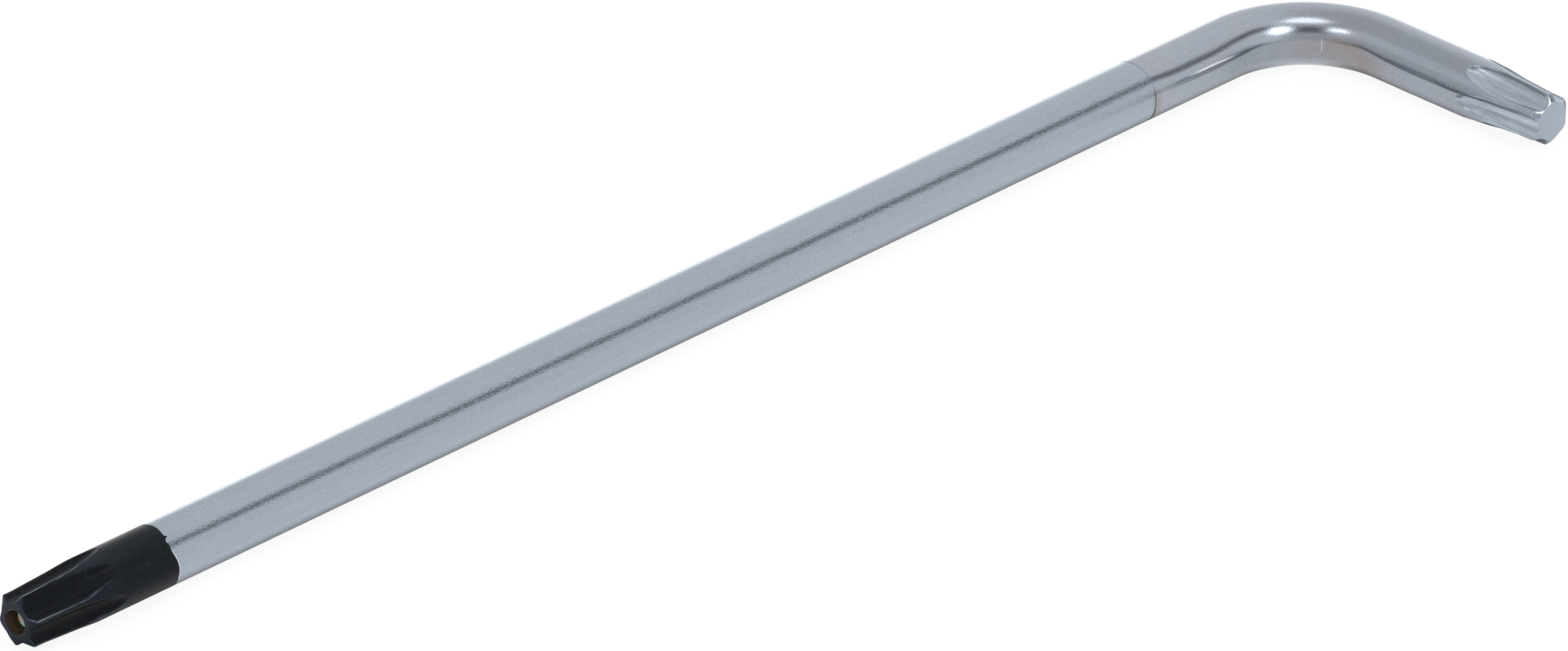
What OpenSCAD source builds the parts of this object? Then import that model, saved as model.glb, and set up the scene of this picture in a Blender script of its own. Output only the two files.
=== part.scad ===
// L-shaped star key: one round steel bar, bent square, with a six-lobe star milled into each end.
// The long tip has a black coat and a blind hole for a screw's centre pin, with a magnet in it.
// The long arm lies along X and the short arm points to -Y. The key lies on the plane z = 0.

/* [Bar] */
// Diameter of the round bar
bar_d = 8; // [7.8:0.1:12]
// Length of the long arm, from its tip face to the outer side of the short arm
long_arm = 222; // [150:1:320]
// Length of the short arm, from its tip face to the outer side of the long arm
short_arm = 46.2; // [44:0.2:80]
// Radius of the bend, to the middle of the bar
bend_r = 14.3; // [10:0.1:16]

/* [Bend marks] */
// Length of the long arm that the bending form pressed, up to the bend
form_run = 16.7; // [5:0.1:40]
// Length of the short arm that the bending form pressed, from the bend
form_tail = 14; // [2:0.5:15]
// Width of the flat that the form pressed on the inner side
form_flat = 2.6; // [1:0.1:3.5]
// Width of the ring that the end of the form marked on the long arm
ring_w = 0.25; // [0.1:0.05:1]
// Depth of that ring
ring_depth = 0.08; // [0.05:0.01:0.3]

/* [Star] */
// Width across the six lobes
star_d = 7.6; // [7.2:0.05:7.8]
// Width across the six flutes
valley_d = 5.5; // [5.2:0.05:5.7]
// Radius of each lobe's nose
nose_r = 0.58; // [0.45:0.01:0.7]
// Extra radius on the nose, so that its arc crosses the flute and the turned crest
nose_ease = 0.03; // [0.02:0.01:0.06]
// Diameter of the disc cutter that mills the flutes
cutter_d = 58; // [40:1:80]

/* [Long tip] */
// Length of the flutes before they start to run out, from the tip face
long_straight = 6.9; // [4:0.1:9]
// Length that is turned down to the star's width, from the tip face
long_turned = 5.5; // [3:0.5:8]
// Length of the cone from there up to the bar
long_relief = 5; // [3:0.5:8]
// Angle at which the flutes deepen towards the tip face
long_lean = 3; // [0:0.5:5]
// Turn of the star about the long arm
long_turn = 42; // [0:1:59]
// Width of the flat end face
long_face_d = 5.3; // [4.8:0.05:6.9]
// Length of the chamfer round the end face
long_chamfer = 0.65; // [0.2:0.05:2]

/* [Short tip] */
// Length of the flutes before they start to run out, from the tip face
short_straight = 6.3; // [3:0.1:7]
// Angle at which the flutes deepen towards the tip face
short_lean = 4; // [0:0.5:5]
// Turn of the star about the short arm
short_turn = 2; // [0:1:59]
// Width of the flat end face
short_face_d = 5.3; // [4.8:0.05:6.4]
// Length of the chamfer round the end face
short_chamfer = 0.75; // [0.2:0.05:2]
// Width across the lobes behind the chamfer
short_lead_d = 6.9; // [6.5:0.05:7.5]
// Distance from the tip face at which the taper reaches the bar
short_lead = 9; // [4:0.5:12]

/* [Magnet] */
// Diameter of the hole's mouth, which clears a screw's centre pin
mouth_d = 3.1; // [3:0.05:3.6]
// Depth of the mouth, down to the shoulder round the magnet's pocket
mouth_depth = 1.2; // [0.5:0.1:4]
// How far the magnet's face lies below that shoulder
magnet_set = 0.2; // [0.1:0.05:0.5]
// Diameter of the magnet
magnet_d = 2.5; // [2:0.05:2.55]
// Length of the magnet
magnet_len = 5; // [2:0.5:10]
// Width of the broken edge on the magnet
magnet_edge = 0.15; // [0.05:0.05:0.4]
// Thickness of the adhesive round and under the magnet
adhesive_t = 0.1; // [0.05:0.01:0.12]
// Angle of the drill's point
drill_point = 118; // [90:1:140]

/* [Coat] */
// Length of the black coat, from the tip face
coat_len = 21.8; // [17:0.1:40]
// Thickness of the coat, which lies flush in a seat ground into the bar
coat_t = 0.1; // [0.05:0.01:0.2]

/* [Hidden] */
$fn = 96;
lobes = 6;
// How far a cut runs past the face that it opens
over = 1;
bar_r = bar_d / 2;
star_r = star_d / 2;
valley_r = valley_d / 2;
// The middle lines of the two arms cross here, and the bend turns about its own centre
corner = [long_arm / 2 - bar_r, short_arm / 2 - bar_r, bar_r];
bend_centre = corner - [bend_r, bend_r, 0];
long_plain = long_arm - bar_r - bend_r;
short_plain = short_arm - bar_r - bend_r;
// Distance of the pressed flat from the middle of the bar
flat_at = sqrt(bar_r * bar_r - form_flat * form_flat / 4);
// A lobe's nose and the flutes beside it are arcs that touch: this gives the flute's radius
half_pitch = 180 / lobes;
nose_at = star_r - nose_r;
flute_r = (nose_at * nose_at + valley_r * valley_r - 2 * nose_at * valley_r * cos(half_pitch)
    - nose_r * nose_r) / (2 * (nose_r - valley_r + nose_at * cos(half_pitch)));
flute_at = valley_r + flute_r;
// The cut widens in a wing outside the flute: it starts just inside the flute's arc, at this part of
// its radius, and stops at this angle from the middle of the lobe
wing_start = 0.95;
wing_gap = 1;
pocket_r = magnet_d / 2 + adhesive_t;
magnet_face = mouth_depth + magnet_set;
magnet_back = magnet_face + magnet_len;
pocket_back = magnet_back + adhesive_t;
point_back = pocket_back + pocket_r / tan(drill_point / 2);

// Puts a shape whose tip face is at z = 0, with the bar above it, on the end of the long arm
module on_long_arm() {
    translate([-long_arm / 2, corner.y, corner.z]) rotate([0, 90, 0]) children();
}

// The same for the short arm
module on_short_arm() {
    translate([corner.x, -short_arm / 2, corner.z]) rotate([-90, 0, 0]) children();
}

// Section of the bar where the bending form pressed a flat on the side at -X
module pressed_section() {
    intersection() {
        circle(r = bar_r);
        translate([-flat_at, -bar_r]) square([flat_at + bar_r, bar_d]);
    }
}

// Section of what the cutter takes out between two lobes. The star is sunk by this much all round
module flute_section(sink) {
    middle = [flute_at, 0];
    nose = nose_at * [cos(half_pitch), sin(half_pitch)];
    start = middle + (nose - middle) * wing_start * flute_r / norm(nose - middle);
    shoulder = [cos(half_pitch - wing_gap), sin(half_pitch - wing_gap)];
    wing = [start, nose_at * shoulder, (bar_r + over) * shoulder];
    difference() {
        union() {
            translate(middle) circle(r = flute_r + sink);
            polygon(concat(wing, [for (i = [2 : -1 : 0]) [wing[i].x, -wing[i].y]]));
        }
        for (side = [-1, 1]) translate([nose.x, side * nose.y]) circle(r = nose_r + nose_ease - sink);
    }
}

// The flutes of a tip: straight from the face, then out of the bar along the rim of the cutter.
// They may be sunk by a skin's thickness, and may lean in towards the face
module flutes(straight, sink = 0, lean = 0) {
    mill_at = valley_r + cutter_d / 2;
    lift = acos((mill_at - bar_r - over) / (cutter_d / 2));
    for (i = [0 : lobes - 1]) rotate(i * 360 / lobes) translate([0, 0, straight]) rotate([0, lean, 0]) {
        translate([0, 0, -straight - over]) linear_extrude(straight + over) flute_section(sink);
        translate([mill_at, 0, 0]) rotate([90, 0, 180]) rotate_extrude(angle = lift)
            translate([mill_at, 0]) mirror([1, 0]) flute_section(sink);
    }
}

// The long tip from its face to the rear edge of the coat, sunk by this much all round
module long_tip(sink) {
    rotate(long_turn) difference() {
        rotate_extrude() polygon([[0, sink], [long_face_d / 2 - sink, sink],
            [star_r - sink, long_chamfer + sink], [star_r - sink, long_turned],
            [bar_r - sink, long_turned + long_relief], [bar_r - sink, coat_len], [0, coat_len]]);
        flutes(long_straight, sink, long_lean);
    }
}

// The short arm up to the bend, with its tapered tip and the end of the pressed flat
module short_shank() {
    difference() {
        rotate(short_turn) difference() {
            rotate_extrude() polygon([[0, 0], [short_face_d / 2, 0], [short_lead_d / 2, short_chamfer],
                [bar_r, short_lead], [bar_r, short_plain], [0, short_plain]]);
            flutes(short_straight, lean = short_lean);
        }
        translate([-flat_at - over, -bar_r, short_plain - form_tail]) cube([over, bar_d, form_tail + over]);
    }
}

// The blind hole: a mouth for the pin, then the magnet's pocket with the drill's point at its end
module tip_hole() {
    translate([0, 0, -over]) cylinder(d = mouth_d, h = mouth_depth + over);
    rotate_extrude() polygon([[0, 0], [pocket_r, 0], [pocket_r, pocket_back], [0, point_back]]);
}

// One bent bar with its flats, its ring mark, its two stars and its hole
module key_bar() {
    form_start = long_plain - form_run;
    color("lightsteelblue") difference() {
        union() {
            on_long_arm() {
                long_tip(coat_t);
                translate([0, 0, coat_len]) cylinder(r = bar_r, h = form_start - coat_len);
                translate([0, 0, form_start]) rotate(90) linear_extrude(form_run) pressed_section();
            }
            translate(bend_centre) rotate_extrude(angle = 90) translate([bend_r, 0]) pressed_section();
            on_short_arm() short_shank();
        }
        on_long_arm() {
            tip_hole();
            translate([0, 0, form_start - ring_w / 2]) difference() {
                cylinder(r = bar_r + over, h = ring_w);
                translate([0, 0, -over]) cylinder(r = bar_r - ring_depth, h = ring_w + 2 * over);
            }
        }
    }
}

// The black skin on the long tip, open at the hole
module tip_coat() {
    color("black") on_long_arm() difference() {
        long_tip(0);
        long_tip(coat_t);
        translate([0, 0, -over]) cylinder(r = mouth_d / 2 + coat_t, h = mouth_depth + over);
    }
}

// A rod magnet with broken edges
module tip_magnet() {
    color("silver") on_long_arm() rotate_extrude() polygon([
        [0, magnet_face], [magnet_d / 2 - magnet_edge, magnet_face],
        [magnet_d / 2, magnet_face + magnet_edge], [magnet_d / 2, magnet_back - magnet_edge],
        [magnet_d / 2 - magnet_edge, magnet_back], [0, magnet_back]]);
}

// The adhesive: it fills the drill's point and the gap round the magnet
module magnet_adhesive() {
    color("tan") on_long_arm() difference() {
        rotate_extrude() polygon([[0, magnet_face + magnet_edge], [pocket_r, magnet_face + magnet_edge],
            [pocket_r, pocket_back], [0, point_back]]);
        cylinder(d = magnet_d, h = magnet_back);
    }
}

key_bar();
tip_coat();
tip_magnet();
magnet_adhesive();
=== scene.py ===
import math

import bpy
import numpy as np
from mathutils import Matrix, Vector


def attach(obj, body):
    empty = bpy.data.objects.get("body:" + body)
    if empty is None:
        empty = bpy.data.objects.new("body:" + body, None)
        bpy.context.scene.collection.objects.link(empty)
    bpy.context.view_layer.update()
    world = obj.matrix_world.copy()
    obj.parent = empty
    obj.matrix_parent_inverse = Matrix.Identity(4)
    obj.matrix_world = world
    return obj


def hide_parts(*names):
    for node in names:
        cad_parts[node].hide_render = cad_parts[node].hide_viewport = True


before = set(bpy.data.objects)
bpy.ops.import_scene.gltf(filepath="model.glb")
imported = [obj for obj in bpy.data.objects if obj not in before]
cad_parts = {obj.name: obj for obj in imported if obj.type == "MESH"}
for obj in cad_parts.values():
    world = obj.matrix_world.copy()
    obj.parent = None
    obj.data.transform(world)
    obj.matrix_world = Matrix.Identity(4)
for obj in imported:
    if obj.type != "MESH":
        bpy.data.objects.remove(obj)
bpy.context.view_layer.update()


# The view: the key lies flat and is seen from the front left, from about 29 degrees up, through
# a very long lens, so that the black tip points at the lower left corner.
MM = 0.001
VIEW_AZIMUTH = math.radians(-45.1034)
VIEW_ELEVATION = math.radians(28.5497)
AIM_POINT = Vector((24.3031, 28.8615, -12.8875)) * MM
CAMERA_AWAY = 1564.376 * MM
SENSOR_WIDTH = 36.0
FOCAL_LENGTH = 292.125
CLIP_END = 20.0


def direction(azimuth, elevation):
    """The way to a place in the room, where azimuth 0 is straight in front of the key."""
    return Vector((
        math.sin(azimuth) * math.cos(elevation),
        -math.cos(azimuth) * math.cos(elevation),
        math.sin(elevation)))


back = direction(VIEW_AZIMUTH, VIEW_ELEVATION)
bpy.ops.object.camera_add(location=AIM_POINT + CAMERA_AWAY * back)
camera = bpy.context.object
camera.name = "camera"
camera.rotation_euler = (-back).to_track_quat("-Z", "Y").to_euler()
camera.data.sensor_fit = "HORIZONTAL"
camera.data.sensor_width = SENSOR_WIDTH
camera.data.lens = FOCAL_LENGTH
camera.data.clip_end = CLIP_END
bpy.context.scene.camera = camera
bpy.context.scene.view_settings.view_transform = "Standard"


# The bar: one round rod of tool steel. A star is milled into both ends, a hole is drilled into
# the long end, the rod is bent square over a form that presses a flat on the inner side, and
# the whole is plated. Sizes are in mm, and along the bar they count from the long tip's face.
BAR_R = 4.0
LONG_ARM = 222.0
SHORT_ARM = 46.2
BEND_R = 14.3
AXIS_X = LONG_ARM / 2 - BAR_R
AXIS_Y = SHORT_ARM / 2 - BAR_R
AXIS_Z = BAR_R
BEND_X = AXIS_X - BEND_R
BEND_Y = AXIS_Y - BEND_R
TIP_X = -LONG_ARM / 2
BEND_START = BEND_X - TIP_X
BEND_END = BEND_START + BEND_R * math.pi / 2
BAR_END = BEND_END + BEND_Y + SHORT_ARM / 2
SIDES = 360
BEND_STEPS = 44
NEAR = 0.01
SMOOTH_BELOW = math.radians(32)

# The seat of the black coat, the ring and the flat that the bending form left, and the hole
COAT_EDGE = 21.5
COAT_FADE = 4.0
COAT_T = 0.1
COAT_SEAT = 1.6 * COAT_T
RING_AT = BEND_START - 16.7
RING_HALF = 0.1
RING_DEPTH = 0.08
FLAT_END = BEND_END + 16.0
FLAT_FADE = 5.0
FLAT_JOIN = 3.0
MOUTH_R = 1.55
MOUTH_DEPTH = 1.2
POCKET_R = 1.35
POCKET_BACK = 6.5
POINT_BACK = 7.31

# The star: a flute's arc, a lobe's nose and the point where the two arcs touch
PITCH = math.pi / 3
FLUTE_AT = 4.575
FLUTE_R = 1.825
NOSE_X = 2.789
NOSE_Y = 1.61
NOSE_R = 0.61
TOUCH_X = 3.22
TOUCH_Y = 1.222
EDGE_ROUND = 0.07
LEAST_EDGE = math.radians(3)
MOST_EDGE = math.radians(28.5)
EDGE_CROWD = 1.5

# The two turned tips. The flutes are given by straight length, lean and radius of the run-out
FACE_R = 2.65
TURN_ROUND = 0.08
LONG_R = 3.8
LONG_CHAMFER = 0.65
LONG_TURNED = 5.5
LONG_CONE_END = 10.5
LONG_FLUTES = (6.9, math.radians(3), 29.0)
LONG_FIRST = math.radians(48)
LONG_CORNER = 0.12
SHORT_R = 3.45
SHORT_CHAMFER = 0.75
SHORT_LEAD = 9.0
SHORT_ROUND = 0.12
SHORT_FLUTES = (7.0, math.radians(3.6), 20.0)
SHORT_FIRST = math.radians(2)
SHORT_CORNER = 0.06

# Wear: the end faces are worn to a hexagon, and one lobe of the short tip leans
WORN_LIFT = -0.26
WORN_FACE = 2.46
WORN_SLOPE = 1.1
WORN_ROUND = 0.05
LOBE_AT = 32
LOBE_WIDE = 30
LOBE_LEAN = math.radians(6)

# The steel that the form pushed up beside its flat, in mm of height and degrees round the bar
LIP_HEIGHT = 0.13
LIP_AT = 22
LIP_WIDE = 20
CREASE_ROUND = 0.015
UNDER_ROUND = 0.15

# What changes along the bar, by place: the crease's angle, the dark line in it, how much darker the
# flat below it is, and the rubbed line with its painted highlight on the lip above it
CREASE_UP = (
    (187, 15.5), (192, 14.1), (197, 12.6), (203, 13.5), (207, 16.5), (211, 17), (217, 15.6),
    (222, 16.4), (226, 17.6), (229, 13.9), (231.5, 12.4), (234, 12), (240, 13), (243, 14.8),
    (247, 17.2), (252, 19.4))
CREASE_DARK = (
    (187, 0.2), (190, 0.4), (194, 0.8), (203, 0.8), (207, 0.55), (210, 0.2), (216, 0.15),
    (220, 0.4), (226, 0.7), (231, 1.0), (243, 1.0), (249, 0.6), (252, 0.3), (254, 0.0))
FLAT_DARKER = (
    (187, 0.0), (193, 0.05), (198, 0.1), (202, 0.23), (216, 0.16), (229, 0.18), (234, 0.12),
    (244, 0.1), (250, 0.0))
LIP_LINE_UP = ((192, 20.5), (194, 20), (198, 19.6), (201.5, 17.5), (203, 16.5))

# The brushed edge of the coat: waves by number, height and start, and blots by degrees, width
# and height
EDGE_TURN = math.radians(37.6)
EDGE_ABOVE = 0.4
EDGE_BELOW = -0.8
EDGE_WAVES = ((5, 0.04, 1.3), (9, 0.025, 0.4), (17, 0.012, 2.1))
EDGE_BLOTS = (
    (60, 1.8, 0.4), (52, 4.0, -0.2), (-20, 4.0, -0.1), (150, 4.0, 0.4), (230, 6.0, 0.3))


def blend_low(a, b, width):
    """The lower of two heights, with the corner between them rounded over this width."""
    near = np.maximum(width - np.abs(a - b), 0.0) / width
    return np.minimum(a, b) - near * near * width / 4


def ease(value, start, end):
    """Rises smoothly from 0 at start to 1 at end."""
    part = np.clip((value - start) / (end - start), 0.0, 1.0)
    return part * part * (3 - 2 * part)


def between(value, start, full, fall, end):
    """Rises smoothly from start to full, and goes down again from fall to end."""
    return ease(value, start, full) * ease(value, end, fall)


def by_place(along, table):
    """A value that changes along the bar, from a table of places and values."""
    return np.interp(along, *zip(*table))


def from_flute(angle, first_flute):
    """Angle from the middle of the nearest flute."""
    return (angle - first_flute + PITCH / 2) % PITCH - PITCH / 2


def star_section(angle, first_flute, lift):
    """Radius of the milled star, whose flutes are lifted out of the bar by this much."""
    off = np.abs(from_flute(angle, first_flute))
    away = FLUTE_AT + lift
    reach = np.maximum(FLUTE_R ** 2 - (away * np.sin(off)) ** 2, 0)
    flute = away * np.cos(off) - np.sqrt(reach)
    nose_x = NOSE_X + lift
    aside = nose_x * np.sin(off) - NOSE_Y * np.cos(off)
    along = nose_x * np.cos(off) + NOSE_Y * np.sin(off)
    reach = NOSE_R ** 2 - aside ** 2
    nose = np.where(reach > 0, along + np.sqrt(np.maximum(reach, 0)), 2 * BAR_R)
    return np.where(off < np.arctan2(TOUCH_Y, TOUCH_X + lift), flute, nose)


def flute_lift(from_face, straight, lean, rim_r):
    """How far a flute is lifted: it leans in to the face, then runs out along the cutter's rim."""
    past = from_face - straight
    rim = np.clip(past + rim_r * math.sin(lean), 0, 0.95 * rim_r)
    climb = rim_r * math.cos(lean) - np.sqrt(rim_r ** 2 - rim ** 2)
    return np.where(past < 0, past * math.tan(lean), climb)


def long_tip(from_face):
    """The black tip: radius of the turned blank, lift of its flutes, angle of the first flute."""
    blank = np.interp(from_face, [LONG_TURNED, LONG_CONE_END], [LONG_R, BAR_R])
    chamfer = FACE_R + from_face * (LONG_R - FACE_R) / LONG_CHAMFER
    blank = blend_low(blank, chamfer, TURN_ROUND)
    return blank, flute_lift(from_face, *LONG_FLUTES), LONG_FIRST


def short_tip(from_face):
    """The same for the bright tip, which tapers to its face and whose flutes end more bluntly."""
    taper = SHORT_R + (from_face - SHORT_CHAMFER) * (BAR_R - SHORT_R) / (SHORT_LEAD - SHORT_CHAMFER)
    chamfer = FACE_R + from_face * (SHORT_R - FACE_R) / SHORT_CHAMFER
    blank = blend_low(blend_low(taper, chamfer, TURN_ROUND), BAR_R, SHORT_ROUND)
    return blank, flute_lift(from_face, *SHORT_FLUTES), SHORT_FIRST


def tip_skin(tip, from_face, angle, corner):
    """Radius of a milled tip with worn edges, and how deep its flutes lie below the blank."""
    blank, lift, first_flute = tip(from_face)
    star = star_section(angle, first_flute, np.maximum(lift, WORN_LIFT))
    deep = np.maximum(blank - star, 0)
    worn_face = (WORN_FACE + WORN_SLOPE * from_face) / np.cos(from_flute(angle, first_flute))
    skin = blend_low(blend_low(blank, star, EDGE_ROUND), worn_face, WORN_ROUND)
    corner = corner * (0.4 + 0.6 * ease(deep, 0.0, 0.3))
    turned = np.clip(1 - from_face / corner, 0, 1)
    return skin - corner * (1 - np.sqrt(1 - turned ** 2)), deep


def flute_edge(tip, from_face):
    """Angle from a flute's middle to its edge, and how far from the face the flutes end."""
    rows, row = np.unique(np.round(np.maximum(from_face, 0), 4), return_inverse=True)
    blank, lift = tip(rows)[:2]
    across = np.linspace(0, PITCH / 2, 121)
    edge = np.array([
        np.interp(b, star_section(across, 0.0, l), across) for b, l in zip(blank, lift)])
    flutes_end = rows[edge > LEAST_EDGE].max()
    return np.clip(edge, LEAST_EDGE, MOST_EDGE)[row], flutes_end


def follow_flutes(tip, from_face, angle):
    """Turns points round a tip until a row of them lies along each edge of a flute."""
    edge, flutes_end = flute_edge(tip, from_face)
    off = from_flute(angle, tip(from_face)[2])
    part = np.abs(off) / (PITCH / 4)
    in_flute = edge * (1 - np.clip(1 - part, 0, 1) ** EDGE_CROWD)
    on_lobe = edge + (PITCH / 2 - edge) * np.clip(part - 1, 0, 1) ** EDGE_CROWD
    moved = np.where(part < 1, in_flute, on_lobe) - np.abs(off)
    return angle + np.sign(off) * moved * ease(from_face, flutes_end + 4, flutes_end)


def follow_crease(along, angle):
    """Turns points on the pressed part of the bar until a row of them lies along each crease."""
    crease = np.radians(by_place(along, CREASE_UP))
    knot, reach = math.radians(16), math.radians(70)
    off = np.abs(angle)
    above = crease + (off - knot) * (reach - crease) / (reach - knot)
    moved = np.where(off < knot, off * crease / knot, above)
    return np.where(off < reach, np.sign(angle) * moved, angle)


def lip_shape(angle):
    """How the pushed-up steel swells and fades round the bar."""
    return np.exp(-((np.degrees(angle) - LIP_AT) / LIP_WIDE) ** 2)


def brush_edge(along, angle):
    """Moves points near the rear edge of the black coat to where the brush left it."""
    lean = np.sin(angle - EDGE_TURN)
    edge = np.where(lean > 0, EDGE_ABOVE, EDGE_BELOW) * lean
    for waves, height, start in EDGE_WAVES:
        edge = edge + height * np.sin(waves * angle + start)
    for place, width, height in EDGE_BLOTS:
        turn = np.angle(np.exp(1j * (angle - math.radians(place))))
        edge = edge + height * np.exp(-(turn / math.radians(width)) ** 2)
    return along + np.clip(1 - np.abs(along - COAT_EDGE) / COAT_FADE, 0, 1) * edge


def straighten(points):
    """Place on the rod before it was bent: length along it, and inwards and up from its axis."""
    x, y, z = points[:, 0], points[:, 1], points[:, 2]
    on_long, on_short = x <= BEND_X, y < BEND_Y
    in_bend = BEND_START + BEND_R * np.arctan2(x - BEND_X, y - BEND_Y)
    along = np.where(on_long, x - TIP_X, np.where(on_short, BEND_END + BEND_Y - y, in_bend))
    in_bend = BEND_R - np.hypot(x - BEND_X, y - BEND_Y)
    inner = np.where(on_long, AXIS_Y - y, np.where(on_short, AXIS_X - x, in_bend))
    return along, inner, z - AXIS_Z


def bend_to_shape(along, inner, up):
    """The place in the bent key of a point on the straight rod."""
    turn = np.clip((along - BEND_START) / BEND_R, 0, math.pi / 2)
    before = np.minimum(along - BEND_START, 0)
    after = np.maximum(along - BEND_END, 0)
    out = BEND_R - inner
    x = BEND_X + out * np.sin(turn) + before
    y = BEND_Y + out * np.cos(turn) - after
    return np.stack([x, y, AXIS_Z + up], 1)


def rod_ring(name, along):
    """Starts a piece as a ring of the rod's size round the long arm, selected in edit mode."""
    bpy.ops.object.select_all(action="DESELECT")
    bpy.ops.mesh.primitive_circle_add(
        vertices=SIDES, radius=BAR_R * MM, rotation=(0, math.pi / 2, 0),
        location=((TIP_X + along) * MM, AXIS_Y * MM, AXIS_Z * MM))
    piece = bpy.context.object
    piece.name = name
    bpy.ops.object.transform_apply(location=True, rotation=True, scale=True)
    bpy.ops.object.mode_set(mode="EDIT")
    bpy.ops.mesh.select_mode(type="VERT")
    bpy.ops.mesh.select_all(action="SELECT")
    return piece


def pull_ring(stations, way):
    """Extrudes the selected ring from station to station."""
    for start, end in zip(stations[:-1], stations[1:]):
        bpy.ops.mesh.extrude_region_move(
            TRANSFORM_OT_translate={"value": Vector(way) * (end - start) * MM})


def widen_ring(old_r, new_r):
    """Extrudes the selected ring round the long arm in or out to a new radius."""
    bpy.ops.mesh.extrude_region_move(TRANSFORM_OT_translate={"value": (0, 0, 0)})
    bpy.ops.transform.resize(value=(1, new_r / old_r, new_r / old_r))


def pick_ring(piece, along):
    """Selects the rod-sized ring at a place on the long arm, in edit mode."""
    bpy.ops.mesh.select_all(action="DESELECT")
    bpy.ops.object.mode_set(mode="OBJECT")
    for vertex in piece.data.vertices:
        vertex.select = abs(vertex.co.x - (TIP_X + along) * MM) < 1e-6
    bpy.ops.object.mode_set(mode="EDIT")


def close_skin():
    """Merges doubles, turns all faces outwards and leaves edit mode."""
    bpy.ops.mesh.select_all(action="SELECT")
    bpy.ops.mesh.remove_doubles(threshold=1e-7)
    bpy.ops.mesh.normals_make_consistent(inside=False)
    bpy.ops.object.mode_set(mode="OBJECT")


def points_of(piece):
    """The piece's points as an array, in mm."""
    flat = np.empty(len(piece.data.vertices) * 3, np.float32)
    piece.data.vertices.foreach_get("co", flat)
    return flat.reshape(-1, 3).astype(float) / MM


def put_points(piece, points):
    """Moves the piece's points to these places, in mm."""
    piece.data.vertices.foreach_set("co", (points * MM).astype(np.float32).ravel())
    piece.data.update()


def keep_notes(piece, notes):
    """Keeps named values, or places of three numbers, on the points for the material to read."""
    for name, values in notes.items():
        kind, field = ("FLOAT_VECTOR", "vector") if values.ndim == 2 else ("FLOAT", "value")
        note = piece.data.attributes.new(name, kind, "POINT")
        note.data.foreach_set(field, values.astype(np.float32).ravel())


# The blank: a ring pulled along the long arm, spun round the bend, pulled down the short arm and
# closed. The hole is then sunk into the long end. Rows lie closer where there is more to shape.
bar = rod_ring("plated_bar", COAT_T)
under_coat = np.linspace(COAT_T, COAT_EDGE, 20)
behind_coat = COAT_EDGE + np.array([0.03, 0.06, 0.1, 0.14, 0.2, 0.3, 1.0, 2.0, 3.0, 4.1])
long_run = np.linspace(30, RING_AT - 0.4, 12)
ring_rows = RING_AT + np.array([-0.16, -0.12, -0.07, 0.07, 0.12, 0.16, 0.4])
formed_run = np.linspace(RING_AT + 1.0, BEND_START, 17)
pull_ring(np.concatenate([under_coat, behind_coat, long_run, ring_rows, formed_run]), (1, 0, 0))
bpy.ops.mesh.spin(
    steps=BEND_STEPS, angle=math.pi / 2, center=Vector((BEND_X, BEND_Y, AXIS_Z)) * MM,
    axis=(0, 0, 1))
short_run = np.linspace(BEND_END, BAR_END - 16.0, 13)
flute_run = np.linspace(BAR_END - 15.75, BAR_END - 1.5, 62)
face_run = BAR_END - np.array([
    1.3, 1.15, 1.0, 0.87, 0.8, 0.75, 0.7, 0.6, 0.5, 0.4, 0.3, 0.25, 0.2, 0.16, 0.12, 0.09, 0.06,
    0.04, 0.02, 0.008, 0.001])
pull_ring(np.concatenate([short_run, flute_run, face_run]), (0, -1, 0))
bpy.ops.mesh.edge_face_add()
pick_ring(bar, COAT_T)
widen_ring(BAR_R, MOUTH_R)
pull_ring([COAT_T, MOUTH_DEPTH], (1, 0, 0))
widen_ring(MOUTH_R, POCKET_R)
pull_ring([MOUTH_DEPTH, POCKET_BACK, POINT_BACK], (1, 0, 0))
bpy.ops.mesh.merge(type="CENTER")
close_skin()

# Rows of points are turned to lie along the flutes' edges and along the crease
along, inner, up = straighten(points_of(bar))
angle = np.arctan2(up, inner)
old_radius = np.hypot(inner, up)
from_face = BAR_END - along
skin_points = old_radius > BAR_R - NEAR
on_coat = skin_points & (along < COAT_EDGE + NEAR)
pressed = skin_points & (along > RING_AT + RING_HALF)
on_tip = skin_points & (along > FLAT_END - FLAT_FADE)
angle = np.where(on_coat, follow_flutes(long_tip, along, angle), angle)
to_crease = follow_crease(along, angle) - angle
to_crease *= ease(along, FLAT_END, FLAT_END - FLAT_JOIN)
angle = np.where(pressed, angle + to_crease, angle)
to_flutes = follow_flutes(short_tip, from_face, angle) - angle
to_flutes *= ease(along, FLAT_END - FLAT_JOIN, FLAT_END)
angle = np.where(on_tip, angle + to_flutes, angle)

# The ring, the pressed flat with its lip, the bright star and the seat under the coat
radius = np.where(np.abs(along - RING_AT) < RING_HALF, BAR_R - RING_DEPTH, BAR_R)
crease = np.radians(by_place(along, CREASE_UP))
swollen = LIP_HEIGHT * between(along, RING_AT, RING_AT + 4, 197.5, 203.5)
at_crease = BAR_R + swollen * lip_shape(crease)
flat_pressed = ease(along, FLAT_END, FLAT_END - FLAT_FADE)
flat = BAR_R + (at_crease * np.cos(crease) - BAR_R) * flat_pressed
flat = flat / np.maximum(np.cos(angle), 0.3)
flat_round = np.where(angle > 0, CREASE_ROUND, UNDER_ROUND)
pressed_skin = blend_low(radius + swollen * lip_shape(angle), flat, flat_round)
radius = np.where(pressed, pressed_skin, radius)
tip_radius, deep = tip_skin(short_tip, from_face, angle, SHORT_CORNER)
radius = np.where(on_tip, np.minimum(radius, tip_radius), radius)
seat = tip_skin(long_tip, along, angle, LONG_CORNER)[0] - COAT_SEAT
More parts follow.
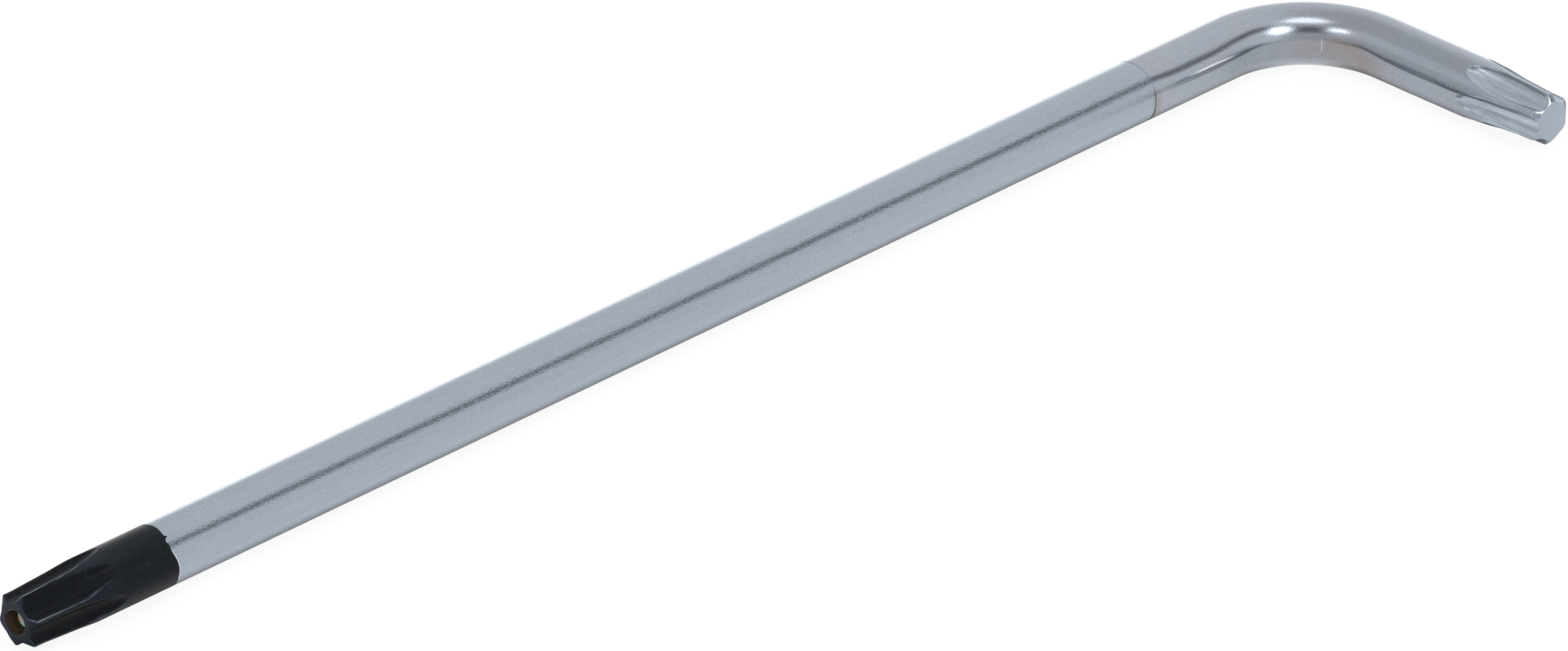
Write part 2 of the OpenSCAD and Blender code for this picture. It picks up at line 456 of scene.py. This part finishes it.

# The worn rim of the end face is whitened on its lit side as a painted highlight, and the first
# bare steel beside the coat is whitened too
flute_turn = np.degrees(from_flute(angle, SHORT_FIRST))
star_lift = np.maximum(short_tip(from_face)[1], WORN_LIFT)
cut_back = star_section(angle, SHORT_FIRST, star_lift) - radius
worn_rim_highlight = on_tip * between(cut_back, 0.0, 0.04, 0.3, 0.45)
worn_rim_highlight = worn_rim_highlight * between(from_face, 0.02, 0.06, 0.45, 0.6)
# kept to the lit side, as this whitening is a painted highlight
worn_rim_highlight *= (np.abs(np.degrees(angle) - 62) < 28) * ease(np.abs(flute_turn), 4, 10)
coat_rim = skin_points * ease(along, COAT_EDGE + 0.2, COAT_EDGE + 0.1) * ease(angle, 0.7, 0.4)

# The low lobe leans, the coat's edge is ragged, and the rod is bent back to its shape
low_lobe = ease(1 - np.abs(np.degrees(angle) - LOBE_AT) / LOBE_WIDE, 0, 1)
low_lobe = low_lobe * between(from_face, 0.3, 7, 11, 14)
radius = np.where(on_coat, seat, np.where(skin_points, radius, old_radius))
along = np.where(skin_points, brush_edge(along, angle), along)
angle = np.where(on_tip, angle - LOBE_LEAN * low_lobe, angle)
inner, up = radius * np.cos(angle), radius * np.sin(angle)
put_points(bar, bend_to_shape(along, inner, up))
degrees = np.degrees(angle)
flat_below = ease(degrees, -32, -18) * ease(angle - crease, 0.03, -0.03)
keep_notes(bar, {
    "on_rod": np.stack([along, inner, up], 1),
    "in_hole": 1.0 * ~skin_points,
    "formed": between(along, RING_AT - 0.2, RING_AT + 0.2, BAR_END - 14, BAR_END - 9),
    "in_flute": ease(deep, 0.0, 0.15) * on_tip * ease(from_face, 0.05, 0.4),
    # painted shade: the upper wall of each flute, just under its edge, on one side only
    "under_edge": (on_tip * (flute_turn > 0) * between(deep, 0.03, 0.12, 0.2, 0.45)
                   * ease(from_face, 0.5, 1.2)),
    "worn_rim_highlight": np.maximum(worn_rim_highlight, 0.55 * coat_rim),
    "inside_bend": between(along, 208, 221, 226.5, 230) * ease(np.abs(degrees + 14), 44, 26),
    "ring_dirt": between(degrees, -75, -40, 5, 30),
    "off_crease": BAR_R * (angle - crease),
    "crease_darkness": pressed * by_place(along, CREASE_DARK),
    "darker_flat": pressed * flat_below * by_place(along, FLAT_DARKER),
    # a whitened line on the lip: rubbed steel and a painted highlight
    "lip_rub_and_highlight": pressed * between(along, 192, 196, 199, 203),
    "off_lip": BAR_R * (angle - np.radians(by_place(along, LIP_LINE_UP)))})
bpy.ops.object.shade_smooth_by_angle(angle=SMOOTH_BELOW)


def srgb(code):
    """A colour written as sRGB hex, in the linear values that the shaders take."""
    parts = [int(code[i:i + 2], 16) / 255 for i in (1, 3, 5)]
    linear = [c / 12.92 if c <= 0.04045 else ((c + 0.055) / 1.055) ** 2.4 for c in parts]
    return (*linear, 1.0)


def add_node(tree, kind, inputs=(), **settings):
    """Adds a node with its settings, gives each input a value or a link, returns its outputs."""
    made = tree.nodes.new("ShaderNode" + kind)
    for name, value in settings.items():
        setattr(made, name, value)
    for name, value in dict(inputs).items():
        if isinstance(value, bpy.types.NodeSocket):
            tree.links.new(value, made.inputs[name])
        else:
            made.inputs[name].default_value = value
    return made.outputs


def new_finish(name):
    """A new material with an empty node tree."""
    finish = bpy.data.materials.new(name)
    finish.use_nodes = True
    finish.node_tree.nodes.clear()
    return finish, finish.node_tree


def soft_line(tree, value, middle, half, fade, place, strength):
    """A line where a value is within half of its middle, kept to one place and to a strength."""
    off = add_node(tree, "Math", {0: value, 1: middle}, operation="SUBTRACT")["Value"]
    off = add_node(tree, "Math", {0: off}, operation="ABSOLUTE")["Value"]
    line = add_node(
        tree, "MapRange", {"Value": off, "From Min": half + fade, "From Max": half},
        interpolation_type="SMOOTHSTEP")["Result"]
    for part in (place, strength):
        line = add_node(tree, "Math", {0: line, 1: part}, operation="MULTIPLY")["Value"]
    return line


# Satin chrome plate on drawn and milled steel: a light blue-grey metal with a fine pebbled grain
# that breaks up reflections, smoother and warmer where the form rubbed it, with lines along the
# flutes, dirt at the ring, a dark line along the crease, a darker pressed flat, painted shade under
# the flutes' edges, and worn rims and lip whitened as painted highlights. The grain is drawn
# coarser than it is, to show.
PLATE = "#97A0AB"
PLATE_WARM = "#9B9EA5"
PLATE_SMUDGE = "#8C8482"
PLATE_FLUTE = "#A6AFBA"
HOLE_BROWN = "#6A5B4E"
STAIN_BROWN = "#84715F"
PIT_GREY = "#50565E"
DIRT_AND_SHADE_GREY = "#3F444A"
RUB_AND_HIGHLIGHT_WHITE = "#E9ECEF"
GRAIN_MM = 0.22
GRAIN_HEIGHT_MM = 0.026
GRAIN_CONTRAST = 0.4
STREAK_MM = 0.35
STREAK_HEIGHT_MM = 0.02
STREAK_PLAIN = 0.18
STREAK_FLUTE = 0.75
PIT_SPACING_MM = 6.0
CLOUD_MM = 4.0
ROUGH_PLAIN = 0.21
ROUGH_FORMED = 0.20
ROUGH_FLUTE = 0.3
ROUGH_SMUDGE = 0.34
ROUGH_RUBBED = 0.45
ROUGH_HOLE = 0.5
HAIRLINE_AT = 217.7

plate, tree = new_finish("satin_chrome_plate")
on_rod = add_node(tree, "Attribute", attribute_name="on_rod")["Vector"]
(formed, in_hole, in_flute, under_edge, worn_rim_highlight, inside_bend, ring_dirt, off_crease, crease_darkness,
 darker_flat, lip_rub_and_highlight, off_lip) = (
    add_node(tree, "Attribute", attribute_name=name)["Fac"] for name in (
        "formed", "in_hole", "in_flute", "under_edge", "worn_rim_highlight", "inside_bend", "ring_dirt",
        "off_crease", "crease_darkness", "darker_flat", "lip_rub_and_highlight", "off_lip"))
rod_length = add_node(tree, "SeparateXYZ", {"Vector": on_rod})["X"]
stretched = add_node(tree, "Mapping", {"Vector": on_rod, "Scale": (0.04, 1, 1)})["Vector"]
streaks = add_node(
    tree, "TexNoise", {"Vector": stretched, "Scale": 1 / STREAK_MM, "Detail": 3.0})["Fac"]
clouds = add_node(tree, "TexNoise", {
    "Vector": on_rod, "Scale": 1 / CLOUD_MM, "Detail": 4.0, "Roughness": 0.6})["Fac"]
grain_run = add_node(tree, "Mapping", {"Vector": on_rod, "Scale": (0.8, 1, 1)})["Vector"]
grain = add_node(
    tree, "TexNoise", {"Vector": grain_run, "Scale": 1 / GRAIN_MM, "Detail": 2.0})["Fac"]
pits = add_node(tree, "TexVoronoi", {"Vector": on_rod, "Scale": 1 / PIT_SPACING_MM}, feature="F1")
pit_mark = add_node(
    tree, "MapRange", {"Value": pits["Distance"], "From Min": 0.04, "From Max": 0.02})["Result"]
pit_pick = add_node(tree, "Math", {0: pits["Color"], 1: 0.6}, operation="GREATER_THAN")["Value"]
pit_here = add_node(tree, "Math", {0: pit_mark, 1: pit_pick}, operation="MULTIPLY")["Value"]

# The plain plating: warmer in clouds where it was formed, paler in the flutes, streaked and grained
tint = add_node(tree, "MapRange", {
    "Value": clouds, "From Min": 0.3, "From Max": 0.7, "To Min": 0.1, "To Max": 0.9})["Result"]
warm = add_node(tree, "Math", {0: tint, 1: formed}, operation="MULTIPLY")["Value"]
colour = add_node(
    tree, "Mix", {0: warm, 6: srgb(PLATE), 7: srgb(PLATE_WARM)}, data_type="RGBA")[2]
colour = add_node(
    tree, "Mix", {0: in_flute, 6: colour, 7: srgb(PLATE_FLUTE)}, data_type="RGBA")[2]
streak_depth = add_node(tree, "MapRange", {
    "Value": in_flute, "To Min": STREAK_PLAIN, "To Max": STREAK_FLUTE})["Result"]
streak_off = add_node(tree, "Math", {0: streaks, 1: 0.5}, operation="SUBTRACT")["Value"]
streak_shade = add_node(
    tree, "Math", {0: streak_off, 1: streak_depth, 2: 1.0}, operation="MULTIPLY_ADD")["Value"]
grain_off = add_node(tree, "Math", {0: grain, 1: 0.5}, operation="SUBTRACT")["Value"]
grain_shade = add_node(
    tree, "Math", {0: grain_off, 1: GRAIN_CONTRAST, 2: 1.0}, operation="MULTIPLY_ADD")["Value"]
# darker on the pressed flat below the crease
grain_shade = add_node(
    tree, "Math", {0: grain_shade, 1: darker_flat}, operation="SUBTRACT")["Value"]
for shade in (streak_shade, grain_shade):
    colour = add_node(tree, "VectorMath", {0: colour, 1: shade}, operation="MULTIPLY")["Vector"]

# Marks on it, from the lowest layer up: smudges, painted shade and dirt, stains, bright rubbed
# steel partly painted as highlights, and pits
smudge_patch = add_node(tree, "MapRange", {
    "Value": clouds, "From Min": 0.35, "From Max": 0.65, "To Min": 0.35, "To Max": 1.0})["Result"]
smudge = add_node(tree, "Math", {0: inside_bend, 1: smudge_patch}, operation="MULTIPLY")["Value"]
# painted shade along the upper wall of each flute, under its edge
painted_flute_shade = add_node(tree, "Math", {0: under_edge, 1: 0.7}, operation="MULTIPLY")["Value"]
ring_line = soft_line(tree, rod_length, RING_AT - 0.02, 0.1, 0.09, ring_dirt, 1.0)
ring_stain = soft_line(tree, rod_length, RING_AT + 0.3, 0.3, 0.9, ring_dirt, 0.35)
crease_line = soft_line(tree, off_crease, -0.06, 0.06, 0.2, crease_darkness, 0.75)
below_crease = soft_line(tree, off_crease, -0.75, 0.6, 0.5, 1.0, 1.0)
hairline = soft_line(tree, rod_length, HAIRLINE_AT, 0.05, 0.07, below_crease, 0.35)
# these whitened lines and rims are partly rubbed steel, partly painted highlights
bright = soft_line(tree, off_lip, 0.0, 0.06, 0.16, lip_rub_and_highlight, 1.0)
for other in (hairline, worn_rim_highlight):
    bright = add_node(tree, "Math", {0: bright, 1: other}, operation="MAXIMUM")["Value"]
for amount, shade in (
        (smudge, PLATE_SMUDGE), (painted_flute_shade, DIRT_AND_SHADE_GREY), (ring_stain, STAIN_BROWN),
        (ring_line, DIRT_AND_SHADE_GREY), (crease_line, DIRT_AND_SHADE_GREY), (bright, RUB_AND_HIGHLIGHT_WHITE),
        (pit_here, PIT_GREY), (in_hole, HOLE_BROWN)):
    colour = add_node(tree, "Mix", {0: amount, 6: colour, 7: srgb(shade)}, data_type="RGBA")[2]

rough = add_node(
    tree, "MapRange", {"Value": formed, "To Min": ROUGH_PLAIN, "To Max": ROUGH_FORMED})["Result"]
for amount, level in (
        (in_flute, ROUGH_FLUTE), (smudge, ROUGH_SMUDGE), (bright, ROUGH_RUBBED),
        (in_hole, ROUGH_HOLE)):
    rough = add_node(tree, "Mix", {0: amount, 2: rough, 3: level})[0]
grain_depth = add_node(
    tree, "MapRange", {"Value": formed, "To Min": 1.0, "To Max": 0.4})["Result"]
pebbled = add_node(tree, "Bump", {
    "Strength": grain_depth, "Distance": GRAIN_HEIGHT_MM * MM, "Height": grain})["Normal"]
milled = add_node(tree, "Bump", {
    "Strength": in_flute, "Distance": STREAK_HEIGHT_MM * MM, "Height": streaks,
    "Normal": pebbled})["Normal"]
shader = add_node(tree, "BsdfPrincipled", {
    "Base Color": colour, "Metallic": 1.0, "Roughness": rough, "Normal": milled})["BSDF"]
add_node(tree, "OutputMaterial", {"Surface": shader})
bar.data.materials.append(plate)
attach(bar, "root")
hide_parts("key_bar")


# The coat: a thin black skin that was brushed or dipped over the long tip, with a ragged rear
# edge. It is as thin as paint, lies flush with the bar and is open over the hole.
HOLE_R = 1.65
HOLE_RIM = 0.04
HOLE_EDGE_IN = 0.03
NO_EDGE = 9.0
EDGE_RUB_HIGHLIGHT = ((0, 0.3), (0.5, 0.7), (1.2, 0.9), (4, 0.7), (7, 0.45), (10, 0.25), (12.5, 0))

coat = rod_ring("black_tip_coat", 0.0)
coat_face = np.array([
    0.0, 0.005, 0.015, 0.03, 0.05, 0.08, 0.12, 0.17, 0.23, 0.3, 0.4, 0.5, 0.58, 0.65, 0.72, 0.82])
coat_run = np.linspace(1.0, COAT_EDGE, 70)
pull_ring(np.concatenate([coat_face, coat_run]), (1, 0, 0))
pick_ring(coat, 0.0)
widen_ring(BAR_R, HOLE_R + HOLE_RIM)
widen_ring(HOLE_R + HOLE_RIM, HOLE_R)
close_skin()
along, inner, up = straighten(points_of(coat))
angle = np.arctan2(up, inner)
old_radius = np.hypot(inner, up)
skin_points = old_radius > BAR_R - NEAR
angle = np.where(skin_points, follow_flutes(long_tip, along, angle), angle)
skin, deep = tip_skin(long_tip, along, angle, LONG_CORNER)
turn = from_flute(angle, LONG_FIRST)
edge_off = BAR_R * np.abs(np.abs(turn) - flute_edge(long_tip, along)[0])
radius = np.where(skin_points, skin, old_radius)
along = np.where(skin_points, brush_edge(along, angle), along)
along = np.where(old_radius < HOLE_R + NEAR, HOLE_EDGE_IN, along)
inner, up = radius * np.cos(angle), radius * np.sin(angle)
put_points(coat, bend_to_shape(along, inner, up))
chamfer = 0.5 * ease(along, 0.8, 0.3) * ease(deep, 0.3, 0.0)
keep_notes(coat, {
    "on_rod": np.stack([along, inner, up], 1),
    "off_edge": np.where(skin_points, edge_off, NO_EDGE),
    # front and crest: where the painted grey sheen goes
    "front": np.maximum(ease(along, 0.12, 0.02), chamfer),
    "crest": ease(deep, 0.22, 0.0) * (1 - 0.45 * ease(along, 11.0, 15.0)),
    # rubbed lines along the flutes' edges, kept to the upward-facing side as a painted highlight
    "rub_highlight_place": (turn < 0) * by_place(along, EDGE_RUB_HIGHLIGHT)})
bpy.context.view_layer.objects.active = coat
skin_wall = coat.modifiers.new("skin_wall", "SOLIDIFY")
skin_wall.thickness = COAT_T * MM
skin_wall.offset = -1.0
skin_wall.use_even_offset = False
bpy.ops.object.modifier_apply(modifier=skin_wall.name)
bpy.ops.object.shade_smooth_by_angle(angle=SMOOTH_BELOW)

# Black enamel over steel: near black with a cool cast and little shine, with a painted grey sheen
# on the crests and the end face, rubbed grey lines along the upward-facing flutes' edges that are
# painted as highlights, and flecked with dust. The flecks are drawn coarser than they are, to show.
COAT_BLACK = "#06090D"
COAT_LAND_SHEEN = "#242A33"
COAT_FRONT_SHEEN = "#333A44"
COAT_RUB_HIGHLIGHT = "#8790A0"
COAT_SPECK = "#2A3440"
COAT_SHINE = 0.08
PEEL_MM = 0.5
PEEL_HEIGHT_MM = 0.012
SPECK_MM = 0.2
SMEAR_MM = 1 / 1.2

enamel, tree = new_finish("black_tip_enamel")
on_rod = add_node(tree, "Attribute", attribute_name="on_rod")["Vector"]
crest, front, off_edge, rub_highlight_place = (
    add_node(tree, "Attribute", attribute_name=name)["Fac"] for name in (
        "crest", "front", "off_edge", "rub_highlight_place"))
drawn_out = add_node(tree, "Mapping", {"Vector": on_rod, "Scale": (0.3, 1, 1)})["Vector"]
peel = add_node(tree, "TexNoise", {"Vector": on_rod, "Scale": 1 / PEEL_MM, "Detail": 3.0})["Fac"]
clouds = add_node(tree, "TexNoise", {
    "Vector": drawn_out, "Scale": 1 / SMEAR_MM, "Detail": 5.0, "Roughness": 0.65})["Fac"]
specks = add_node(
    tree, "TexNoise", {"Vector": on_rod, "Scale": 1 / SPECK_MM, "Detail": 2.0})["Fac"]
highlight_break = add_node(
    tree, "MapRange", {"Value": clouds, "From Min": 0.33, "From Max": 0.65})["Result"]
# painted highlight, partly rubbed enamel, along the upward-facing flute edges
rub_highlight = add_node(
    tree, "MapRange", {"Value": off_edge, "From Min": 0.2, "From Max": 0.03})["Result"]
for part in (highlight_break, rub_highlight_place):
    rub_highlight = add_node(tree, "Math", {0: rub_highlight, 1: part}, operation="MULTIPLY")["Value"]
# painted sheen on the crests, in patches
land_sheen = add_node(tree, "Math", {0: crest, 1: clouds}, operation="MULTIPLY")["Value"]
fleck = add_node(
    tree, "MapRange", {"Value": specks, "From Min": 0.5, "From Max": 0.75})["Result"]
smear = add_node(tree, "MapRange", {
    "Value": clouds, "From Min": 0.5, "From Max": 0.7, "To Min": 0.25, "To Max": 1.0})["Result"]
fleck = add_node(tree, "Math", {0: fleck, 1: smear}, operation="MULTIPLY")["Value"]
colour = srgb(COAT_BLACK)
for amount, shade in (
        (land_sheen, COAT_LAND_SHEEN), (fleck, COAT_SPECK), (front, COAT_FRONT_SHEEN), (rub_highlight, COAT_RUB_HIGHLIGHT)):
    colour = add_node(tree, "Mix", {0: amount, 6: colour, 7: srgb(shade)}, data_type="RGBA")[2]
rough = add_node(tree, "MapRange", {
    "Value": clouds, "From Min": 0.3, "From Max": 0.7, "To Min": 0.28, "To Max": 0.42})["Result"]
peeled = add_node(
    tree, "Bump", {"Strength": 0.6, "Distance": PEEL_HEIGHT_MM * MM, "Height": peel})["Normal"]
shader = add_node(tree, "BsdfPrincipled", {
    "Base Color": colour, "Roughness": rough, "Specular IOR Level": COAT_SHINE,
    "Normal": peeled})["BSDF"]
add_node(tree, "OutputMaterial", {"Surface": shader})
coat.data.materials.append(enamel)
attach(coat, "root")
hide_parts("tip_coat")


# The magnet: a small sintered rod with broken edges, pushed into the hole and left a little
# below the shoulder of its mouth. Its shape is the CAD node's own.
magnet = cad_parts["tip_magnet"]

# Nickel plate under a milky film of dried resin: pale, tinted warm and cool in patches, with
# shallow lapping marks. The film hides most of the metal, so it is only partly metallic.
MAGNET_WARM = "#F5DCCB"
MAGNET_COOL = "#CDEFF3"
MAGNET_METAL = 0.3
FILM_MM = 0.7
LAP_MM = 0.25
LAP_HEIGHT_MM = 0.01

nickel, tree = new_finish("bright_nickel_plate")
place = add_node(tree, "TexCoord")["Object"]
film = add_node(
    tree, "TexNoise", {"Vector": place, "Scale": 1 / (FILM_MM * MM), "Detail": 2.0})["Fac"]
marks = add_node(
    tree, "TexNoise", {"Vector": place, "Scale": 1 / (LAP_MM * MM), "Detail": 3.0})["Fac"]
film_mix = add_node(
    tree, "MapRange", {"Value": film, "From Min": 0.4, "From Max": 0.6})["Result"]
colour = add_node(
    tree, "Mix", {0: film_mix, 6: srgb(MAGNET_WARM), 7: srgb(MAGNET_COOL)}, data_type="RGBA")[2]
rough = add_node(tree, "MapRange", {
    "Value": marks, "From Min": 0.3, "From Max": 0.7, "To Min": 0.5, "To Max": 0.62})["Result"]
lapped = add_node(
    tree, "Bump", {"Strength": 0.5, "Distance": LAP_HEIGHT_MM * MM, "Height": marks})["Normal"]
shader = add_node(tree, "BsdfPrincipled", {
    "Base Color": colour, "Metallic": MAGNET_METAL, "Roughness": rough, "Normal": lapped})["BSDF"]
add_node(tree, "OutputMaterial", {"Surface": shader})
magnet.data.materials.clear()
magnet.data.materials.append(nickel)


# The adhesive: a film of resin that holds the magnet, squeezed up round it when it was pushed
# in. Only the narrow ring round the magnet's face shows, down the hole.
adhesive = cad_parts["magnet_adhesive"]

# Cured epoxy with steel dust in it: dark brown, patchy and half glossy.
RESIN_DARK = "#2B1F14"
RESIN_LIGHT = "#4A3521"
RESIN_ROUGH = 0.45
DUST_MM = 0.4
DUST_HEIGHT_MM = 0.03

resin, tree = new_finish("brown_resin")
place = add_node(tree, "TexCoord")["Object"]
dust = add_node(
    tree, "TexNoise", {"Vector": place, "Scale": 1 / (DUST_MM * MM), "Detail": 4.0})["Fac"]
colour = add_node(
    tree, "Mix", {0: dust, 6: srgb(RESIN_DARK), 7: srgb(RESIN_LIGHT)}, data_type="RGBA")[2]
uneven = add_node(
    tree, "Bump", {"Strength": 0.6, "Distance": DUST_HEIGHT_MM * MM, "Height": dust})["Normal"]
shader = add_node(tree, "BsdfPrincipled", {
    "Base Color": colour, "Roughness": RESIN_ROUGH, "Normal": uneven})["BSDF"]
add_node(tree, "OutputMaterial", {"Surface": shader})
adhesive.data.materials.clear()
adhesive.data.materials.append(resin)


# The table: a wide white board that the key lies on, set a hair lower so that the two do not
# share a plane. It is the floor of the picture and not a piece of the key.
TABLE_SIZE = 6.0
TABLE_DOWN = 0.02 * MM
bpy.ops.object.select_all(action="DESELECT")
bpy.ops.mesh.primitive_plane_add(size=TABLE_SIZE, location=(0, 0, -TABLE_DOWN))
table = bpy.context.object
table.name = "table"
bpy.ops.object.transform_apply(location=True, rotation=True, scale=True)

# White painted board under a flood of light: it shows as white with a faint shadow. The plating
# mirrors it, with a painted shadow close under the key, plain in front and brighter where the
# backdrop starts.
TABLE_SEEN = 0.9
TABLE_MATT = 0.12
TABLE_FRONT = 1.08
TABLE_UNDER_SHADOW = 0.18
TABLE_BEHIND = 1.64
BEHIND_FROM = 14 * MM
BEHIND_TO = 34 * MM
UNDER_FROM = 5.2 * MM
UNDER_TO = 1.2 * MM
SHORT_END_Y = -19.5 * MM

table_white, tree = new_finish("white_table")
path = add_node(tree, "LightPath")
seen = path["Is Camera Ray"]
for ray in ("Is Glossy Ray", "Is Transmission Ray"):
    seen = add_node(tree, "Math", {0: seen, 1: path[ray]}, operation="MAXIMUM")["Value"]
spot = add_node(tree, "SeparateXYZ", {"Vector": add_node(tree, "TexCoord")["Object"]})
past_long, past_short, past_end = (
    add_node(tree, "Math", {0: spot[axis], 1: line}, operation="SUBTRACT")["Value"]
    for axis, line in (("Y", AXIS_Y * MM), ("X", AXIS_X * MM), ("Y", SHORT_END_Y)))
past_short = add_node(tree, "Math", {0: past_short, 1: past_end}, operation="MINIMUM")["Value"]
past_key = add_node(tree, "Math", {0: past_long, 1: past_short}, operation="MAXIMUM")["Value"]
lit = add_node(tree, "MapRange", {
    "Value": past_key, "From Min": BEHIND_FROM, "From Max": BEHIND_TO,
    "To Min": TABLE_FRONT, "To Max": TABLE_BEHIND}, interpolation_type="SMOOTHSTEP")["Result"]
off_key = add_node(tree, "Math", {0: past_key}, operation="ABSOLUTE")["Value"]
# a painted shadow close under the key, seen only in reflections
painted_shadow = add_node(
    tree, "MapRange", {"Value": off_key, "From Min": UNDER_FROM, "From Max": UNDER_TO},
    interpolation_type="SMOOTHSTEP")["Result"]
mirrored = add_node(tree, "Mix", {0: painted_shadow, 2: lit, 3: TABLE_UNDER_SHADOW})[0]
shine = add_node(tree, "Mix", {0: path["Is Camera Ray"], 2: mirrored, 3: TABLE_SEEN})[0]
shine = add_node(tree, "Math", {0: seen, 1: shine}, operation="MULTIPLY")["Value"]
glow = add_node(tree, "Emission", {"Color": (1, 1, 1, 1), "Strength": shine})["Emission"]
matt = add_node(tree, "BsdfDiffuse", {"Color": (TABLE_MATT, TABLE_MATT, TABLE_MATT, 1)})["BSDF"]
both = add_node(tree, "AddShader", {0: glow, 1: matt})["Shader"]
add_node(tree, "OutputMaterial", {"Surface": both})
table.data.materials.append(table_white)


# The tent: white cloth walls round the table, a little brighter on the right. A wall beside the
# right lamp and the backdrop have a brightness of their own, and two gaps between the panels
# are dark. Each is given by azimuth, elevation, turn, half width, half height and brightness.
TENT_RIGHT = 1.15
TENT_LEFT = 0.81
BRIGHT_SIDE = math.radians(65)
PANEL_AHEAD = 0.3
PANEL_SOFT = 0.06
PANELS = (
    (-112, 35, 0, 30, 12, 1.0), (138, -3, 0, 55, 6.5, 1.7),
    (-46, 40, 0, 17, 10.5, 0.2), (41.5, 41, -35, 20, 6.5, 0.2))

tent = bpy.data.worlds.new("tent")
bpy.context.scene.world = tent
tent.use_nodes = True
tree = tent.node_tree
tree.nodes.clear()
toward = add_node(tree, "TexCoord")["Generated"]
sideways = add_node(
    tree, "VectorMath", {0: toward, 1: direction(BRIGHT_SIDE, 0)},
    operation="DOT_PRODUCT")["Value"]
wall = add_node(tree, "MapRange", {
    "Value": sideways, "From Min": -0.05, "From Max": 0.42,
    "To Min": TENT_LEFT, "To Max": TENT_RIGHT}, interpolation_type="SMOOTHSTEP")["Result"]
for azimuth, elevation, roll, half_width, half_height, level in PANELS:
    facing = [math.radians(turn) for turn in (roll, -elevation, azimuth - 90)]
    local = add_node(
        tree, "Mapping", {"Vector": toward, "Rotation": facing}, vector_type="TEXTURE")["Vector"]
    axes = add_node(tree, "SeparateXYZ", {"Vector": local})
    inside = add_node(
        tree, "Math", {0: axes["X"], 1: PANEL_AHEAD}, operation="GREATER_THAN")["Value"]
    for axis, half in (("Y", half_width), ("Z", half_height)):
        off = add_node(tree, "Math", {0: axes[axis]}, operation="ABSOLUTE")["Value"]
        edge = math.sin(math.radians(half))
        part = add_node(tree, "MapRange", {
            "Value": off, "From Min": edge + PANEL_SOFT, "From Max": edge - PANEL_SOFT},
            interpolation_type="SMOOTHSTEP")["Result"]
        inside = add_node(tree, "Math", {0: inside, 1: part}, operation="MULTIPLY")["Value"]
    wall = add_node(tree, "Mix", {0: inside, 2: wall, 3: level})[0]
path = add_node(tree, "LightPath")
shown = add_node(tree, "Mix", {0: path["Is Camera Ray"], 2: wall, 3: 1.0})[0]
light = add_node(tree, "Background", {"Color": (1, 1, 1, 1), "Strength": shown})["Background"]
add_node(tree, "OutputWorld", {"Surface": light})


# The lamps: two round soft boxes in front, left and right, and one overhead. All face the elbow
# from the same distance, and each is given by azimuth, elevation, width, depth and radiance.
LAMP_AWAY = 1.0
ELBOW = Vector((AXIS_X - 4, AXIS_Y - 4, AXIS_Z)) * MM
for name, azimuth, elevation, width, depth, radiance in (
        ("lamp_left", -5, 39, 0.48, 0.44, 3.0), ("lamp_right", -89, 42, 0.42, 0.22, 2.9),
        ("lamp_overhead", -38, 74, 0.58, 0.36, 2.15)):
    way = direction(math.radians(azimuth), math.radians(elevation))
    bpy.ops.object.light_add(type="AREA", location=ELBOW + LAMP_AWAY * way)
    lamp = bpy.context.object
    lamp.name = name
    lamp.rotation_euler = way.to_track_quat("Z", "Y").to_euler()
    lamp.data.shape = "ELLIPSE"
    lamp.data.size = width
    lamp.data.size_y = depth
    lamp.data.energy = math.pi * radiance * math.pi * width * depth / 4
